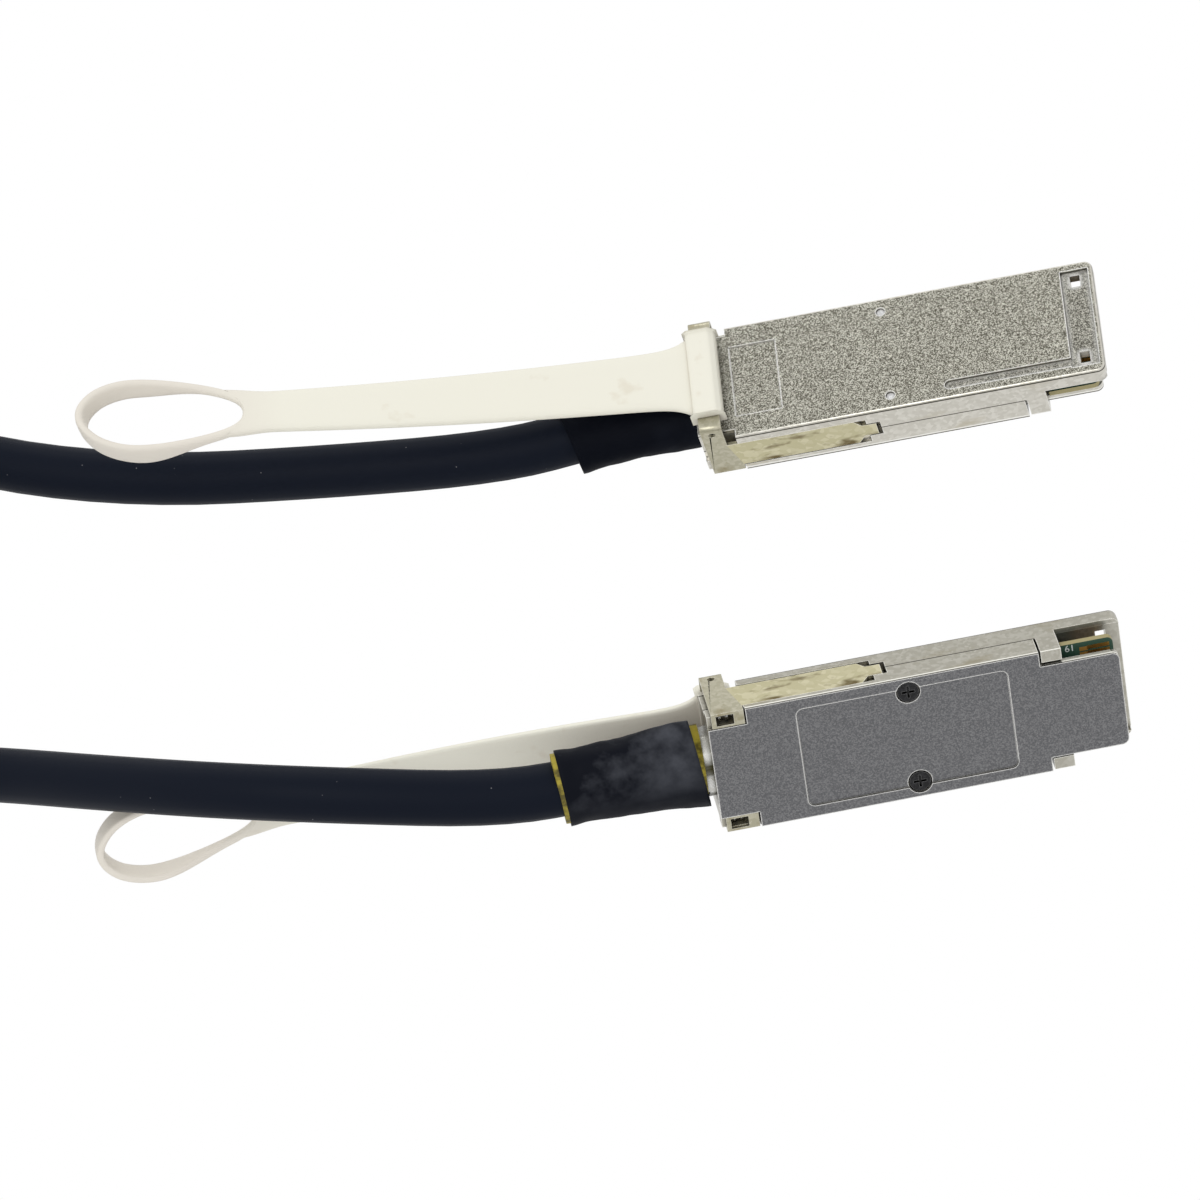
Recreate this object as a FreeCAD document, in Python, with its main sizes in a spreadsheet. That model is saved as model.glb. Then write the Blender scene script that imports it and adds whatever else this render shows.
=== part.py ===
"""Direct attach copper cable: two latched four-lane plugs joined by one stiff twinaxial cable.

Frame: origin under the middle of plug A's nose, on the surface that the cable lies on.
+X points out of plug A's nose, +Y to its left, +Z up. All lengths are in millimetres.
Both plugs are the same design, built in a plug frame with the same axes. Plug A stays where it is
built and plug B is turned over and put at PLUG_B_PLACE.
"""
import FreeCAD
import Part
import Sketcher
import math
import os
from FreeCAD import Placement, Rotation, Vector

doc = FreeCAD.newDocument("direct_attach_cable")

# ---------------------------------------------------------------- driving dimensions
SIZES = {
    # housing
    "body_width": 18.35,        # across the side walls
    "body_height": 8.5,         # bottom face to top face
    "shell_length": 52.4,       # nose to the shoulder of the top face
    "tail_length": 5.2,         # narrower tail behind the shoulder, under the crossbar
    "tail_width": 15.6,
    "parting_height": 4.25,     # where top shell and bottom cover meet
    "roof_thickness": 1.2,
    "floor_thickness": 1.2,
    "cavity_width": 14.6,
    "tail_wall": 4.6,           # solid length at the rear that grips the ferrule
    "edge_round": 0.45,         # rounding of the top shell's long edges
    "nose_round": 1.2,          # rounding of the nose's upright corners
    # nose
    "notch_length": 9.0,        # side window over the card's edge
    "notch_height": 5.75,
    "mouth_width": 16.9,        # inside width of the nose over the card
    "nose_roof": 1.9,           # roof over the card at the nose
    "leg_length": 2.8,          # post of the top shell behind the window
    "leg_inset": 0.35,          # the post stops this far above the bottom face
    "leg_width": 1.7,
    "seam_gap": 0.3,            # gap between post and cover wall
    "cover_nose_width": 14.2,
    "cover_nose_inset": 1.3,    # the cover stops this far behind the nose
    "cover_nose_round": 1.0,
    # sunken areas of the top face
    "nose_recess_length": 3.9,
    "nose_recess_edge": 0.7,
    "nose_recess_side": 1.25,
    "nose_recess_depth": 0.45,
    "port_length": 1.4,         # small rectangular through holes in the nose recess
    "port_width": 1.8,
    "port_spacing": 12.6,
    "groove_length": 17.2,      # long shallow groove beside the right edge
    "groove_width": 1.4,
    "groove_offset": 7.0,
    "groove_depth": 0.35,
    "panel_length": 6.6,        # shallow panel at the rear of the top face
    "panel_width": 11.4,
    "panel_edge": 0.4,
    "panel_depth": 0.15,
    # label recess of the bottom face
    "label_front": 16.6,
    "label_length": 29.0,
    "label_width": 15.1,
    "label_depth": 0.25,
    "label_round": 1.0,
    # cover screws
    "screw_place": 30.2,        # behind the nose
    "screw_spacing": 13.9,
    "screw_radius": 0.6,
    "screw_head_radius": 1.45,
    "screw_head_height": 0.75,
    "screw_sink": 0.25,         # head below the bottom face
    "screw_tip_sink": 0.3,      # tip below the top face
    "screw_clearance": 0.05,
    "boss_radius": 1.6,
    "drive_width": 0.35,        # cross recess
    "drive_length": 1.8,
    "drive_depth": 0.45,
    # latch
    "latch_sheet": 0.5,
    "latch_side_gap": 0.05,
    "latch_travel": 2.0,
    "channel_depth": 0.6,
    "arm_height": 5.5,
    "arm_front": 36.0,          # where the arm starts to taper, behind the nose
    "tongue_length": 3.0,
    "tongue_height": 2.7,
    "tongue_low": 2.75,
    "pocket_front": 32.4,       # front wall of the pocket for the cage's spring finger
    "pocket_length": 1.9,
    "pocket_height": 3.1,
    "pocket_low": 2.65,
    "pocket_depth": 1.5,
    "ear_length": 3.1,
    "ear_behind_shoulder": 1.5,
    "ear_hole_radius": 0.5,
    "ear_hole_height": 9.9,
    "crossbar_height": 11.5,    # top of the crossbar above the bottom face
    "bend_radius": 0.9,
    "flange_low": 0.1,
    "flange_width": 2.2,
    "flange_window_length": 2.4,
    "flange_window_width": 1.5,
    "flange_rim": 0.65,
    "stop_height": 2.0,         # upright stop that drives the spring
    # springs
    "spring_wire": 0.24,
    "spring_radius": 0.56,      # to the middle of the wire
    "spring_turns": 4.0,
    "spring_pocket_length": 4.7,
    "spring_pocket_height": 2.1,
    "spring_wall": 0.6,
    # pull tab
    "saddle_width": 13.8,
    "saddle_overhang": 0.6,
    "saddle_below": 0.8,
    "saddle_above": 1.1,
    "saddle_chamfer": 0.9,
    "tab_root_width": 11.0,
    "tab_end_width": 6.6,
    "tab_thickness": 1.2,
    "tab_gap": 0.2,             # between the latch's ears and the strap
    "tab_start_height": 11.3,   # middle of the strap where it leaves the saddle
    "tab_reach": 84.1,          # from there to the end of the ring
    "tab_ring_reach": 59.0,     # from there to where the strap starts to widen into the ring
    "tab_ring_radius": 6.2,
    "tab_ring_band": 1.7,
    "tab_hole_neck": 1.6,       # half width of the ring's hole at its narrow end
    "tab_deep_reach": 72.0,     # the end of the ring is deeper for the finger
    "tab_deep": 3.2,
    "tab_bow": 0.0011,          # upward curve of the strap, per millimetre
    # card
    "card_width": 16.3,
    "card_thickness": 1.0,
    "card_low": 2.75,
    "card_front": 1.6,
    "card_length": 36.0,
    "card_inner_width": 14.2,
    "card_corner": 0.8,
    "pad_pitch": 0.8,
    "pad_width": 0.54,
    "pad_length": 3.0,
    "pad_edge": 0.5,
    "pad_height": 0.05,
    "chip_length": 4.4,
    "chip_width": 3.0,
    "chip_height": 0.9,
    "chip_place": 22.0,
    "rib_width": 1.1,           # ribs that clamp the card between the halves
    "rib_length": 3.0,
    "rib_place": 36.0,
    # cable end
    "cable_diameter": 7.6,
    "ferrule_radius": 4.6,
    "ferrule_flat": 3.3,
    "ferrule_proud": 1.8,
    "ferrule_wall": 1.3,
    "ferrule_clearance": 0.05,
    "ferrule_corner": 1.7,
    "sleeve_gap": 0.7,          # tape left bare between ferrule and sleeve, and again at the free end
    "sleeve_length": 19.8,
    "sleeve_wall": 0.3,
    "sleeve_root_width": 11.9,
    "sleeve_end_width": 10.3,
    "sleeve_height": 8.5,
    "pair_width": 1.4,
    "pair_height": 0.75,
    "pair_root_pitch": 1.6,
    "pair_card_pitch": 2.6,
    "pair_lap": 3.0,
    # coil of the length that is put away
    "coil_radius": 42.2,        # to the middle of the turns
    "coil_columns": 2.0,
    "coil_layers": 3.0,
    "coil_layer_rise": 6.6,
    "coil_lift": 0.85,          # the tie passes underneath
    "tie_thickness": 0.8,
    "tie_gap": 0.02,
    "tie_sag": 0.6,             # the straight strap clears the ring's inner curve by this much
    "tie_width": 12.0,
}

sheet = doc.addObject("Spreadsheet::Sheet", "sizes")
for row, (name, number) in enumerate(SIZES.items(), start=1):
    sheet.set(f"A{row}", name)
    sheet.set(f"B{row}", str(number))
    sheet.setAlias(f"B{row}", name)
doc.recompute()


class Size:
    """A length that carries its number and the spreadsheet expression that gives it."""

    def __init__(self, number, text):
        self.number = number
        self.text = text

    def joined(self, sign, other, number):
        other = other.text if isinstance(other, Size) else repr(float(other))
        return Size(number, f"({self.text} {sign} {other})")

    def __add__(self, other):
        return self.joined("+", other, self.number + plain(other))

    def __sub__(self, other):
        return self.joined("-", other, self.number - plain(other))

    def __mul__(self, other):
        return self.joined("*", other, self.number * plain(other))

    def __truediv__(self, other):
        return self.joined("/", other, self.number / plain(other))

    def __neg__(self):
        return Size(-self.number, f"(-1 * {self.text})")


def plain(value):
    """The number of a size or of a plain number."""
    return value.number if isinstance(value, Size) else float(value)


def size(name):
    return Size(SIZES[name], f"sizes.{name}")


def bind(thing, path, value):
    """Ties one property to the spreadsheet."""
    if isinstance(value, Size):
        thing.setExpression(path, value.text)


# ---------------------------------------------------------------- derived lengths shared by several pieces
ZERO = size("body_width") * 0
half_width = size("body_width") / 2
height = size("body_height")
shoulder = -size("shell_length")
tail = shoulder - size("tail_length")
parting = size("parting_height")
roof = height - size("roof_thickness")
floor = size("floor_thickness")
cavity_half = size("cavity_width") / 2
axis_height = height / 2
window_rear = -size("notch_length")
post_rear = window_rear - size("leg_length")
cover_wall_front = post_rear - size("seam_gap")
channel_floor = half_width - size("channel_depth")
channel_low = floor
channel_high = channel_low + size("arm_height") + size("latch_side_gap") * 2
arm_low = channel_low + size("latch_side_gap")
arm_high = arm_low + size("arm_height")
arm_inner = channel_floor + size("latch_side_gap")
arm_outer = arm_inner + size("latch_sheet")
ear_front = shoulder - size("ear_behind_shoulder")
ear_rear = ear_front - size("ear_length")
crossbar_low = size("crossbar_height") - size("latch_sheet")
pocket_front = -size("pocket_front")
pocket_rear = pocket_front - size("pocket_length")
flange_top = size("flange_low") + size("latch_sheet")
flange_inner = arm_outer - size("flange_width")
spring_rear = tail + size("spring_wall")
spring_front = spring_rear + size("spring_pocket_length")
spring_low = flange_top + size("latch_side_gap")
spring_high = spring_low + size("spring_pocket_height")
spring_side = flange_inner + size("latch_side_gap") * 4
spring_outer = arm_inner - size("latch_side_gap")
spring_axis = (spring_low + spring_high) / 2
flange_front = -size("shell_length") - size("latch_side_gap") * 2
flange_slot = flange_inner - size("latch_side_gap")
stop_inner = spring_side + size("latch_side_gap")
stop_front = spring_front - size("latch_side_gap") * 2
stop_rear = stop_front - size("latch_sheet")
card_top = size("card_low") + size("card_thickness")
card_rear = -(size("card_front") + size("card_length"))
screw_x = -size("screw_place")
screw_y = size("screw_spacing") / 2
screw_seat = size("screw_sink") + size("screw_head_height")
ferrule_rear = tail - size("ferrule_proud")
ferrule_front = tail + size("tail_wall")
cable_radius = size("cable_diameter") / 2
coil_height = size("coil_layer_rise") * (size("coil_layers") - 1) + size("cable_diameter")


# ---------------------------------------------------------------- modelling helpers
def new_body(label, place):
    body = doc.addObject("PartDesign::Body", label)
    body.Label = label
    body.Placement = place
    return body


def origin_plane(body, role):
    return [item for item in body.Origin.OriginFeatures if item.Role == role][0]


def new_sketch(body, plane, offset):
    """A sketch on one of the body's origin planes, moved along the +X, -Y or +Z normal by offset."""
    sketch = body.newObject("Sketcher::SketchObject", f"{body.Name}_outline")
    sketch.AttachmentSupport = [(origin_plane(body, plane + "_Plane"), "")]
    sketch.MapMode = "FlatFace"
    sketch.AttachmentOffset = Placement(Vector(0, 0, plain(offset)), Rotation())
    bind(sketch, "AttachmentOffset.Base.z", offset)
    return sketch


def pin_point(sketch, element, end, point):
    """Fixes a sketch point by its two signed distances from the origin."""
    for kind, value in (("DistanceX", point[0]), ("DistanceY", point[1])):
        number = sketch.addConstraint(Sketcher.Constraint(kind, -1, 1, element, end, plain(value)))
        bind(sketch, f"Constraints[{number}]", value)


def add_polygon(sketch, corners):
    first = sketch.GeometryCount
    points = [Vector(plain(x), plain(y), 0) for x, y in corners]
    for start, stop in zip(points, points[1:] + points[:1]):
        sketch.addGeometry(Part.LineSegment(start, stop))
    for number in range(len(corners)):
        following = first + (number + 1) % len(corners)
        sketch.addConstraint(Sketcher.Constraint("Coincident", first + number, 2, following, 1))
        pin_point(sketch, first + number, 1, corners[number])


def add_circle(sketch, centre, radius):
    middle = Vector(plain(centre[0]), plain(centre[1]), 0)
    element = sketch.addGeometry(Part.Circle(middle, Vector(0, 0, 1), plain(radius)))
    pin_point(sketch, element, 3, centre)
    number = sketch.addConstraint(Sketcher.Constraint("Radius", element, plain(radius)))
    bind(sketch, f"Constraints[{number}]", radius)


def box(x1, x2, y1, y2):
    """The corners of an upright rectangle."""
    return [(x1, y1), (x2, y1), (x2, y2), (x1, y2)]


def both_sides(corners):
    """An outline on +Y and its mirror image on -Y, in the XY plane."""
    return [corners, [(x, -y) for x, y in corners]]


def extrude(body, kind, plane, start, stop, outlines=(), circles=()):
    """Pads or pockets outlines of the XY, XZ or YZ plane from start to stop along the plane's own axis."""
    along = -1 if plane == "XZ" else 1
    low, high = (-stop, -start) if along < 0 else (start, stop)
    sketch = new_sketch(body, plane, low)
    for corners in outlines:
        add_polygon(sketch, corners)
    for centre, radius in circles:
        add_circle(sketch, centre, radius)
    feature = body.newObject(f"PartDesign::{kind}", f"{body.Name}_{kind.lower()}")
    feature.Profile = sketch
    feature.Length = plain(high) - plain(low)
    bind(feature, "Length", high - low)
    feature.Reversed = kind == "Pocket"
    body.Tip = feature
    return feature


def pad(body, plane, start, stop, outlines=(), circles=()):
    return extrude(body, "Pad", plane, start, stop, outlines, circles)


def pocket(body, plane, start, stop, outlines=(), circles=()):
    return extrude(body, "Pocket", plane, start, stop, outlines, circles)


def round_edges(body, radius, wanted):
    """Fillets the edges of the body's tip that wanted(edge) picks."""
    doc.recompute()
    base = body.Tip
    names = [f"Edge{n}" for n, edge in enumerate(base.Shape.Edges, start=1) if wanted(edge)]
    fillet = body.newObject("PartDesign::Fillet", f"{body.Name}_round")
    fillet.Base = (base, names)
    fillet.Radius = plain(radius)
    bind(fillet, "Radius", radius)
    body.Tip = fillet


def ends_near(edge, along, places):
    """Whether a straight edge runs along one axis, at the given distances from the middle on the others."""
    ends = [vertex.Point for vertex in edge.Vertexes]
    if len(ends) != 2 or ends[0].distanceToPoint(ends[1]) - abs(ends[0][along] - ends[1][along]) > 0.001:
        return False
    return all(abs(abs(ends[0][axis]) - abs(plain(value))) < 0.01 for axis, value in places.items())


def upright(edge, x, y):
    """Whether an edge is vertical and stands at the given place, on either side."""
    return ends_near(edge, 2, {0: x, 1: y})


def lengthwise(edge, y, z):
    """Whether an edge runs along X at the given distance from the middle and height."""
    return ends_near(edge, 0, {1: y, 2: z})


# ---------------------------------------------------------------- plug: die-cast housing
def top_shell(label, place):
    body = new_body(label, place)
    tail_half = size("tail_width") / 2
    pad(body, "XY", parting, height, [[
        (ZERO, -half_width), (ZERO, half_width), (shoulder, half_width), (shoulder, tail_half),
        (tail, tail_half), (tail, -tail_half), (shoulder, -tail_half), (shoulder, -half_width),
    ]])
    round_edges(body, size("nose_round"), lambda edge: upright(edge, ZERO, half_width))
    round_edges(body, size("edge_round"), lambda edge: lengthwise(edge, half_width, height))
    # the two posts behind the side windows
    post_inner = half_width - size("leg_width")
    pad(body, "XY", size("leg_inset"), parting, both_sides(box(post_rear, window_rear, post_inner, half_width)))
    # inside: cavity, open nose over the card, rear hole for the ferrule
    mouth_half = size("mouth_width") / 2
    pocket(body, "XY", parting, roof, [box(ferrule_front, window_rear, -cavity_half, cavity_half)])
    pocket(body, "XY", parting, height - size("nose_roof"), [box(window_rear, ZERO, -mouth_half, mouth_half)])
    pocket(body, "XY", parting, size("notch_height"), both_sides(box(window_rear, ZERO, mouth_half, half_width)))
    pocket(body, "YZ", tail, ferrule_front, [ferrule_outline(size("ferrule_clearance"))])
    # sides: latch channels and the deeper pockets in front of the latch tongues
    for side in (1, -1):
        latch_channel(body, side)
    # top: sunken nose area with two small ports, groove, rear panel, screw tips
    low = height - size("nose_recess_depth")
    recess_half = half_width - size("nose_recess_side")
    recess_front = -size("nose_recess_edge")
    recess_rear = recess_front - size("nose_recess_length")
    pocket(body, "XY", low, height, [box(recess_rear, recess_front, -recess_half, recess_half)])
    port_x = (recess_front + recess_rear) / 2
    port_y = size("port_spacing") / 2
    port = box(port_x - size("port_length") / 2, port_x + size("port_length") / 2,
               port_y - size("port_width") / 2, port_y + size("port_width") / 2)
    pocket(body, "XY", parting, height, both_sides(port))
    groove_half = size("groove_width") / 2
    groove_y = -size("groove_offset")
    groove_rear = recess_rear - size("groove_length")
    groove_low = height - size("groove_depth")
    pocket(body, "XY", groove_low, height,
           [box(groove_rear, recess_rear, groove_y - groove_half, groove_y + groove_half)])
    pocket(body, "XY", groove_low, height, circles=[((groove_rear, groove_y), groove_half)])
    panel_rear = shoulder + size("panel_edge")
    panel_half = size("panel_width") / 2
    pocket(body, "XY", height - size("panel_depth"), height,
           [box(panel_rear, panel_rear + size("panel_length"), -panel_half, panel_half)])
    # ribs that hold the card down, and threaded bosses that the cover screws pull on
    pad(body, "XY", card_top, roof, both_sides(rib_outline()))
    pad(body, "XY", parting, roof, circles=[((screw_x, y), size("boss_radius")) for y in (screw_y, -screw_y)])
    pocket(body, "XY", parting, height, circles=[
        ((screw_x, y), size("screw_radius") + size("screw_clearance")) for y in (screw_y, -screw_y)])
    return body


def ferrule_outline(gap):
    """The crimped ferrule's section in the YZ plane: an oblong with cut corners, grown by gap."""
    wide, tall, corner = size("ferrule_radius") + gap, size("ferrule_flat") + gap, size("ferrule_corner")
    top, bottom, bevel = axis_height + tall, axis_height - tall, tall - corner
    return [
        (-wide, axis_height - bevel), (-wide, axis_height + bevel), (corner - wide, top), (wide - corner, top),
        (wide, axis_height + bevel), (wide, axis_height - bevel), (wide - corner, bottom), (corner - wide, bottom),
    ]


def rib_outline():
    rear = -size("rib_place")
    return box(rear, rear + size("rib_length"), cavity_half - size("rib_width"), cavity_half)


def latch_channel(body, side):
    """The shallow side channel that a latch arm slides in, and the pocket in front of its tongue."""
    faces = (channel_floor, half_width) if side > 0 else (-half_width, -channel_floor)
    pocket(body, "XZ", faces[0], faces[1], [box(tail, pocket_rear, channel_low, channel_high)])
    deep = half_width - size("pocket_depth")
    faces = (deep, half_width) if side > 0 else (-half_width, -deep)
    top = size("pocket_low") + size("pocket_height")
    pocket(body, "XZ", faces[0], faces[1], [box(pocket_rear, pocket_front, size("pocket_low"), top)])


def bottom_cover(label, place):
    body = new_body(label, place)
    tail_half = size("tail_width") / 2
    nose_half = size("cover_nose_width") / 2
    nose_front = -size("cover_nose_inset")
    pad(body, "XY", ZERO, parting, [[
        (shoulder, -half_width), (cover_wall_front, -half_width), (cover_wall_front, half_width),
        (shoulder, half_width), (shoulder, tail_half), (tail, tail_half), (tail, -tail_half),
        (shoulder, -tail_half),
    ]])
    pad(body, "XY", ZERO, floor, [box(cover_wall_front, nose_front, -nose_half, nose_half)])
    round_edges(body, size("cover_nose_round"), lambda edge: upright(edge, nose_front, nose_half))
    # inside: cavity, ferrule hole
    pocket(body, "XY", floor, parting, [box(ferrule_front, cover_wall_front, -cavity_half, cavity_half)])
    pocket(body, "YZ", tail, ferrule_front, [ferrule_outline(size("ferrule_clearance"))])
    # sides: latch channels; rear: spring pockets with the wall that the springs push on
    for side in (1, -1):
        latch_channel(body, side)
    pad(body, "XY", spring_low, spring_high, both_sides(box(tail, spring_rear, tail_half, spring_outer)))
    pocket(body, "XY", spring_low, spring_high, both_sides(box(spring_rear, spring_front, spring_side, tail_half)))
    pocket(body, "XY", spring_low, spring_high, both_sides(box(shoulder, spring_front, tail_half, spring_outer)))
    pocket(body, "XY", ZERO, spring_low, both_sides(box(tail, spring_front, flange_slot, half_width)))
    # ribs under the card, screw bosses, sunken screw seats
    pad(body, "XY", floor, size("card_low"), both_sides(rib_outline()))
    screws = [(screw_x, screw_y), (screw_x, -screw_y)]
    pad(body, "XY", floor, parting, circles=[(place, size("boss_radius")) for place in screws])
    bore = size("screw_radius") + size("screw_clearance")
    pocket(body, "XY", ZERO, parting, circles=[(place, bore) for place in screws])
    seat = size("screw_head_radius") + size("screw_clearance") * 4
    pocket(body, "XY", ZERO, screw_seat, circles=[(place, seat) for place in screws])
    # sunken label area of the bottom face
    label_rear = -size("label_front") - size("label_length")
    label_half = size("label_width") / 2
    front = -size("label_front")
    pocket(body, "XY", ZERO, size("label_depth"), [box(label_rear, front, -label_half, label_half)])
    round_edges(body, size("label_round"), lambda edge: (
        upright(edge, label_rear, label_half) or upright(edge, front, label_half)))
    return body


def cover_screws(label, place):
    """Two Phillips screws, driven from below into the top shell's bosses."""
    body = new_body(label, place)
    body.AllowCompound = True
    screws = [(screw_x, screw_y), (screw_x, -screw_y)]
    tip = height - size("screw_tip_sink")
    pad(body, "XY", size("screw_sink"), screw_seat, circles=[(spot, size("screw_head_radius")) for spot in screws])
    pad(body, "XY", screw_seat, tip, circles=[(spot, size("screw_radius")) for spot in screws])
    long, wide = size("drive_length") / 2, size("drive_width") / 2
    top = size("screw_sink") + size("drive_depth")
    for reach_x, reach_y in ((long, wide), (wide, long)):
        slots = [box(x - reach_x, x + reach_x, y - reach_y, y + reach_y) for x, y in screws]
        pocket(body, "XY", size("screw_sink"), top, slots)
    return body


# ---------------------------------------------------------------- plug: stamped latch and its springs
def latch_frame(label, place):
    """One stamped sheet: two side arms, two rear ears, the bar across the top, and sprung bottom flanges."""
    body = new_body(label, place)
    bar_top = size("crossbar_height")
    pad(body, "YZ", ear_rear, ear_front, [[
        (-arm_outer, arm_low), (-arm_outer, bar_top), (arm_outer, bar_top), (arm_outer, arm_low),
        (arm_inner, arm_low), (arm_inner, crossbar_low), (-arm_inner, crossbar_low), (-arm_inner, arm_low),
    ]])
    round_edges(body, size("bend_radius"), lambda edge: lengthwise(edge, arm_outer, bar_top))
    inner_bend = size("bend_radius") - size("latch_sheet")
    round_edges(body, inner_bend, lambda edge: lengthwise(edge, arm_inner, crossbar_low))
    # arms: deep at the rear, tapering to the tongue that presses the cage's spring finger
    arm_front = -size("arm_front")
    taper = arm_front + size("latch_travel") / 2
    tongue_front = arm_front + size("tongue_length")
    tongue_top = size("tongue_low") + size("tongue_height")
    outline = [
        (ear_front, arm_low), (arm_front, arm_low), (taper, size("tongue_low")),
        (tongue_front, size("tongue_low")), (tongue_front, tongue_top), (taper, tongue_top),
        (arm_front, arm_high), (ear_front, arm_high),
    ]
    for low, high in ((arm_inner, arm_outer), (-arm_outer, -arm_inner)):
        pad(body, "XZ", low, high, [outline])
        pad(body, "XZ", low, high, [box(ear_rear, flange_front, size("flange_low"), arm_low)])
    # flanges under the spring pockets, each with a window and the upright stop that drives the spring
    pad(body, "XY", size("flange_low"), flange_top, both_sides(box(ear_rear, flange_front, flange_inner, arm_inner)))
    stop_top = flange_top + size("stop_height")
    pad(body, "XY", flange_top, stop_top, both_sides(box(stop_rear, stop_front, stop_inner, spring_outer)))
    window_start = ear_rear + size("flange_rim")
    window_side = flange_inner + size("flange_rim") / 2
    window = box(window_start, window_start + size("flange_window_length"),
                 window_side, window_side + size("flange_window_width"))
    pocket(body, "XY", size("flange_low"), flange_top, both_sides(window))
    # round hole in each ear
    ear_middle = (ear_rear + ear_front) / 2
    hole = [((ear_middle, size("ear_hole_height")), size("ear_hole_radius"))]
    pocket(body, "XZ", -arm_outer, arm_outer, circles=hole)
    return body


def latch_springs(label, place):
    """Two compression springs between the latch's stops and the rear walls of the cover's pockets."""
    coils = []
    length = stop_rear - spring_rear - size("spring_wire")
    for side in (1, -1):
        helix = doc.addObject("Part::Helix", f"{label}_helix")
        bind(helix, "Height", length)
        bind(helix, "Pitch", length / size("spring_turns"))
        bind(helix, "Radius", size("spring_radius"))
        middle = (spring_side + spring_outer) / 2 * side
        start = spring_rear + size("spring_wire") / 2
        helix.Placement = Placement(
            Vector(plain(start), plain(middle), plain(spring_axis)), Rotation(Vector(0, 1, 0), 90))
        wire = doc.addObject("Part::RegularPolygon", f"{label}_wire")
        wire.Polygon = 4
        bind(wire, "Circumradius", size("spring_wire") / 2)
        wire.Placement = helix.Placement * Placement(
            Vector(plain(size("spring_radius")), 0, 0), Rotation(Vector(1, 0, 0), 90))
        coil = doc.addObject("Part::Sweep", f"{label}_coil")
        coil.Sections = [wire]
        coil.Spine = (helix, [])
        coil.Solid = True
        coil.Frenet = True
        coils.append(coil)
    both = doc.addObject("Part::Compound", label)
    both.Links = coils
    both.Label = label
    both.Placement = place
    return both


def pull_tab(label, place, rise, sway):
    """Moulded tab around the latch's bar. Rise is its slope at the saddle, sway its sideways curve."""
    body = new_body(label, place)
    steps = 8
    reach = size("tab_reach")
    start = ear_rear - size("tab_gap")

    def middle(u):
        return u * u * sway

    def level(u, offset):
        return size("tab_start_height") + u * rise + u * u * size("tab_bow") + offset

    ring_x = reach - size("tab_ring_radius")
    ring_start = size("tab_ring_reach")
    root_half, end_half = size("tab_root_width") / 2, size("tab_end_width") / 2
    left, right = [], []
    for step in range(steps + 1):
        u = ring_start * (step / steps)
        half = root_half + (end_half - root_half) * (step / steps) ** 0.6
        left.append((start - u, middle(u) + half))
        right.append((start - u, middle(u) - half))
    radius = size("tab_ring_radius")
    left.append((start - ring_x, middle(ring_x) + radius))
    right.append((start - ring_x, middle(ring_x) - radius))
    low, high = size("tab_start_height") - 3.0, level(reach, 3.0)
    pad(body, "XY", low, high, [left + right[::-1]])
    pad(body, "XY", low, high, circles=[((start - ring_x, middle(ring_x)), radius)])
    inner = radius - size("tab_ring_band")
    neck = size("tab_hole_neck")
    neck_x = ring_start + neck * 2
    hole = [(start - neck_x, middle(neck_x) - neck), (start - neck_x, middle(neck_x) + neck),
            (start - ring_x, middle(ring_x) + inner), (start - ring_x, middle(ring_x) - inner)]
    pocket(body, "XY", low, high, [hole])
    rounds = [((start - ring_x, middle(ring_x)), inner), ((start - neck_x, middle(neck_x)), neck)]
    pocket(body, "XY", low, high, circles=rounds)
    # the side shape is cut from above and from below
    half_thick = size("tab_thickness") / 2
    us = [reach * (step / steps) for step in range(steps + 1)]
    wide = radius * 4
    above = [(start - u, level(u, half_thick)) for u in us]
    cut_side(body, wide, above + [(start - reach, high), (start, high)])
    deep = size("tab_deep_reach")
    flat = [u for u in us if plain(u) < plain(deep)]
    below = [(start - u, level(u, -half_thick)) for u in flat]
    below += [(start - deep, level(deep, -half_thick)), (start - deep - half_thick, level(deep, -size("tab_deep")))]
    below += [(start - reach, level(reach, -size("tab_deep"))), (start - reach, low), (start, low)]
    cut_side(body, wide, below)
    # saddle, with the exact shape of the bar cut out
    saddle_half = size("saddle_width") / 2
    rear, front = ear_rear - size("saddle_overhang"), ear_front + size("saddle_overhang")
    under, over = crossbar_low - size("saddle_below"), size("crossbar_height") + size("saddle_above")
    chamfer = size("saddle_chamfer")
    pad(body, "XZ", -saddle_half, saddle_half, [[
        (rear, under), (front, under), (front, over - chamfer), (front - chamfer, over), (rear, over)]])
    bar = [box(ear_rear, ear_front, crossbar_low, size("crossbar_height"))]
    pocket(body, "XZ", -saddle_half, saddle_half, bar)
    return body


def cut_side(body, wide, outline):
    pocket(body, "XZ", -wide, wide, [outline])


# ---------------------------------------------------------------- plug: card and cable end
def paddle_card(label, place):
    body = new_body(label, place)
    front = -size("card_front")
    wide, narrow = size("card_width") / 2, size("card_inner_width") / 2
    step = window_rear + size("seam_gap")
    pad(body, "XY", size("card_low"), card_top, [
        [(card_rear, -narrow), (step, -narrow), (step, -wide), (front, -wide),
         (front, wide), (step, wide), (step, narrow), (card_rear, narrow)]])
    round_edges(body, size("card_corner"), lambda edge: upright(edge, front, wide))
    clear = size("boss_radius") + size("seam_gap") / 2
    notches = [((screw_x, screw_y), clear), ((screw_x, -screw_y), clear)]
    pocket(body, "XY", size("card_low"), card_top, circles=notches)
    return body


def card_contacts(label, place):
    """Nineteen gold fingers on each face of the card; the two outer pairs at the front reach further."""
    body = new_body(label, place)
    body.AllowCompound = True
    front = -size("card_front") - size("pad_edge")
    half = size("pad_width") / 2
    fingers = []
    for number in range(-9, 10):
        y = size("pad_pitch") * float(number)
        fingers.append(box(front - size("pad_length"), front, y - half, y + half))
    pad(body, "XY", card_top, card_top + size("pad_height"), fingers)
    pad(body, "XY", size("card_low") - size("pad_height"), size("card_low"), fingers)
    return body


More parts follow.
